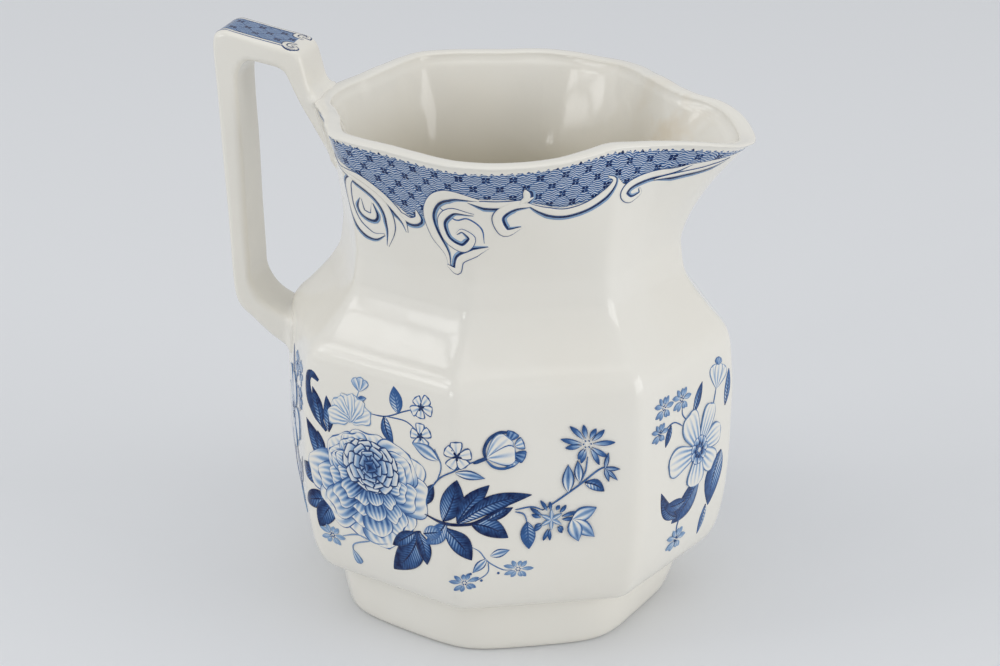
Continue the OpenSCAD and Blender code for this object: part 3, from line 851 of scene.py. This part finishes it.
IVORY = (0.86, 0.835, 0.765)
IVORY_WARM = (0.83, 0.79, 0.70)
STAIN = (0.72, 0.60, 0.42)
# painted shade: the darker, warmer colour the inside reaches deep down, standing in for shade and warm bounce
# light inside the jug
PAINTED_INSIDE_SHADE = (0.55, 0.48, 0.32)
INK_STOPS = [
    (0.0, (0.52, 0.63, 0.77)), (0.3, (0.26, 0.40, 0.60)),
    (0.58, (0.042, 0.125, 0.33)), (1.0, (0.001, 0.009, 0.065))
]


def math_node(tree, kind, a, b=None):
    node = tree.nodes.new("ShaderNodeMath")
    node.operation = kind
    for socket, value in zip(node.inputs, (a, b)):
        if isinstance(value, bpy.types.NodeSocket):
            tree.links.new(value, socket)
        elif value is not None:
            socket.default_value = value
    return node.outputs[0]


def near(tree, where, spot, inside, outside):
    """1 within the first distance of a spot in millimetres, and 0 beyond the second."""
    node = tree.nodes.new("ShaderNodeVectorMath")
    node.operation = "DISTANCE"
    tree.links.new(where, node.inputs[0])
    node.inputs[1].default_value = [c * MM for c in spot]
    return remap(tree, node.outputs["Value"], inside * MM, outside * MM, 1, 0)


def glaze_colour(tree):
    """Ivory with faint cloudy changes of tone, as an old glaze has, painted shade deepening down the inside,
    and a tea stain inside the lip.
    """
    where = object_coordinates(tree)
    clouds = remap(tree, noise(tree, 40, 3, where), 0.35, 0.7, 0, 0.5)
    plain = mix_colours(tree, clouds, IVORY, IVORY_WARM)
    # painted shade: the inside wall is mixed towards a darker, warmer colour as it goes down, for the shade
    # and bounce light inside the vessel
    inside = tree.nodes.new("ShaderNodeAttribute")
    inside.attribute_name = "inside"
    plain = mix_colours(tree, inside.outputs["Fac"], plain, PAINTED_INSIDE_SHADE)
    streaks = remap(tree, noise(tree, 150, 3, where), 0.4, 0.66, 0, 0.5)
    spot = (AXIS_X + 27, 12, 92)
    stained = math_node(tree, "MULTIPLY", streaks, near(tree, where, spot, 3, 15))
    return mix_colours(tree, stained, plain, STAIN)


def finish_gloss(tree, shader):
    """A glossy glaze that is not quite flat."""
    where = object_coordinates(tree)
    tree.links.new(remap(tree, noise(tree, 120, 3, where), 0.3, 0.7, 0.08, 0.15), shader.inputs["Roughness"])
    bump = tree.nodes.new("ShaderNodeBump")
    bump.inputs["Strength"].default_value = 0.35
    bump.inputs["Distance"].default_value = 0.0004
    tree.links.new(noise(tree, 95, 1.5, where), bump.inputs["Height"])
    tree.links.new(bump.outputs["Normal"], shader.inputs["Normal"])
    shader.inputs["IOR"].default_value = 1.52


def glaze_material():
    material, tree, shader = new_material("ivory_glaze")
    tree.links.new(glaze_colour(tree), shader.inputs["Base Color"])
    finish_gloss(tree, shader)
    return material


def ink_colour(tree, tone):
    """The colour of a tone of ink from 0 to 1 over the ivory ground."""
    ramp = tree.nodes.new("ShaderNodeValToRGB")
    stops = ramp.color_ramp.elements
    while len(stops) < len(INK_STOPS):
        stops.new(0.5)
    for stop, (place, colour) in zip(stops, INK_STOPS):
        stop.position = place
        stop.color = (*colour, 1)
    tree.links.new(tone, ramp.inputs["Fac"])
    cover = remap(tree, tone, 0.0, 0.28, 0, 1)
    return mix_colours(tree, cover, glaze_colour(tree), ramp.outputs["Color"])


def attribute_parts(tree, name):
    """The three numbers of a vector attribute."""
    look = tree.nodes.new("ShaderNodeAttribute")
    look.attribute_name = name
    parts = tree.nodes.new("ShaderNodeSeparateXYZ")
    tree.links.new(look.outputs["Vector"], parts.inputs["Vector"])
    return list(parts.outputs)


def woven_tone(tree, x, y):
    """The ink of a ground of fine wavy lines, under a slanting trellis of dark dots."""
    def use(kind, a, b=None):
        return math_node(tree, kind, a, b)

    def from_trellis(v):
        """How far from the nearest slanting line, in cells of the trellis."""
        return use("ABSOLUTE", use("SUBTRACT", use("FRACT", use("ADD", use("DIVIDE", v, TRELLIS), 100)), 0.5))

    def length(u, v):
        return use("SQRT", use("ADD", use("MULTIPLY", u, u), use("MULTIPLY", v, v)))

    a, b = from_trellis(use("ADD", x, y)), from_trellis(use("SUBTRACT", x, y))
    to_first = length(use("SUBTRACT", a, DOT_APART), b)
    to_second = length(a, use("SUBTRACT", b, DOT_APART))
    to_dot = use("MINIMUM", to_first, to_second)
    dots = remap(tree, to_dot, 0.09, 0.115, 1, 0)
    dashes = use("MULTIPLY", remap(tree, use("MINIMUM", a, b), 0.015, 0.035, 0.95, 0),
                 remap(tree, use("SINE", use("MULTIPLY", use("MAXIMUM", a, b), 34)), -0.3, 0.2, 0.5, 1))
    sway = use("MULTIPLY", use("SINE", use("MULTIPLY", x, 4.1)), 1.4)
    wander = use("MULTIPLY", noise(tree, 450, 2, object_coordinates(tree)), 16)
    waves = use("SINE", use("ADD", use("MULTIPLY", y, 13.5), use("ADD", sway, wander)))
    ground = remap(tree, waves, -0.1, 0.6, 0.7, 0.15)
    return use("MAXIMUM", use("MAXIMUM", ground, dots), dashes)


TRELLIS = 4.4
DOT_APART = 0.16


def ink_material(name, woven=False):
    """Engraved ink: the tone and fine lines that each plate carries, a little uneven as a transfer is."""
    material, tree, shader = new_material(name)
    tone, hatch, stripe = attribute_parts(tree, "ink")
    tone = math_node(tree, "ADD", tone, math_node(tree, "MULTIPLY", math_node(tree, "SINE", stripe), hatch))
    if woven:
        x, y, weave = attribute_parts(tree, "flat")
        tone = math_node(tree, "ADD", tone, math_node(tree, "MULTIPLY", woven_tone(tree, x, y), weave))
    patchy = remap(tree, noise(tree, 900, 2, object_coordinates(tree)), 0.3, 0.7, 0.86, 1.08)
    tree.links.new(ink_colour(tree, math_node(tree, "MULTIPLY", tone, patchy)), shader.inputs["Base Color"])
    finish_gloss(tree, shader)
    shader.inputs["Specular IOR Level"].default_value = 0.2
    return material


# ---------------------------------------------------------------- stage

def build_camera():
    """A view from in front, a little above, turned a little towards the spout."""
    turn, lift, roll, distance = math.radians(12.56), math.radians(22.01), 0.0069, 0.4096
    target = Vector((AXIS_X * MM - 0.0013, 0, 0.0512))
    back = Vector((math.sin(turn) * math.cos(lift), -math.cos(turn) * math.cos(lift), math.sin(lift)))
    right = Vector((math.cos(turn), math.sin(turn), 0))
    up = back.cross(right)
    right, up = (
        right * math.cos(roll) + up * math.sin(roll),
        up * math.cos(roll) - right * math.sin(roll),
    )
    camera = bpy.data.objects.new("camera", bpy.data.cameras.new("camera"))
    camera.data.lens = 76.2
    camera.data.sensor_width = 36
    camera.data.clip_start = 0.01
    camera.matrix_world = Matrix.Translation(target + back * distance) @ Matrix(
        (right, up, back)).transposed().to_4x4()
    bpy.context.scene.collection.objects.link(camera)
    bpy.context.scene.camera = camera


def area_light(name, place, aim, size, power):
    lamp = bpy.data.lights.new(name, "AREA")
    lamp.shape = "RECTANGLE"
    lamp.size, lamp.size_y = size
    lamp.energy = power
    light = bpy.data.objects.new(name, lamp)
    light.location = place
    light.rotation_euler = (Vector(place) - Vector(aim)).to_track_quat("Z", "Y").to_euler()
    bpy.context.scene.collection.objects.link(light)
    return light


def build_stage():
    floor = bpy.data.meshes.new("floor")
    reach = 4
    floor.from_pydata([(-reach, -reach, 0), (reach, -reach, 0), (reach, reach, 0), (-reach, reach, 0)], [],
                      [(0, 1, 2, 3)])
    plane = bpy.data.objects.new("floor", floor)
    bpy.context.scene.collection.objects.link(plane)
    material, _, shader = new_material("pale_floor")
    shader.inputs["Base Color"].default_value = (0.80, 0.81, 0.825, 1)
    shader.inputs["Roughness"].default_value = 0.7
    floor.materials.append(material)
    world = bpy.data.worlds.new("soft_room")
    bpy.context.scene.world = world
    world.use_nodes = True
    world.node_tree.nodes["Background"].inputs["Color"].default_value = (0.95, 0.97, 1, 1)
    world.node_tree.nodes["Background"].inputs["Strength"].default_value = 0.58
    middle = (0, 0, 0.06)
    panes = [(-1.02, -0.36, 0.66), (-0.92, -0.62, 0.66), (-0.94, -0.33, 0.9), (-0.84, -0.58, 0.9)]
    for i, place in enumerate(panes):
        area_light(f"window_pane_{i}", place, middle, (0.21, 0.19), 0.3)
    area_light("left_soft", (-1.7, -0.6, 0.8), middle, (1.6, 1.2), 3.4)
    area_light("overhead", (0.1, -0.1, 1.4), middle, (1.6, 1.4), 4)
    area_light("front_soft", (0.5, -1.4, 0.5), middle, (1.0, 0.6), 0.3)
    area_light("right_soft", (1.55, -0.2, 0.42), middle, (1.2, 0.9), 7)
    area_light("strip_a", (-0.60, -1.0, 0.40), middle, (0.05, 0.3), 0.3)
    area_light("strip_b", (-0.70, -0.94, 0.40), middle, (0.05, 0.3), 0.3)
    bpy.context.scene.view_settings.view_transform = "Standard"


def build_prints():
    """The sprays and borders. The back's sprays are the front's turned half round, its border mirrored."""
    flower_ink = ink_material("flower_ink")
    border_ink = ink_material("border_ink", woven=True)
    for side, turn, hand in (("front", 0.0, 1), ("back", math.pi, -1)):
        art = Print(on_belly(turn))
        large_spray(art)
        art.finish(f"large_spray_{side}", flower_ink, f"spray_print_{side}")
        for facing in (1, -1):
            end = "spout" if facing == hand else "handle"
            art = Print(on_belly(turn))
            small_spray(art, facing, bud=end == "spout")
            art.finish(f"{end}_spray_{side}", flower_ink, f"{end}_spray_print_{side}")
        art = Print(on_neck(hand), hand)
        neck_border(art)
        art.finish(f"neck_border_{side}", border_ink, f"border_print_{side}")
    art = Print(on_strap_top)
    strap_band(art)
    art.finish("handle_band", border_ink, "handle_top_print")


glaze = glaze_material()
build_wall(glaze)
build_foot(glaze)
build_handle(glaze)
build_prints()
build_camera()
build_stage()
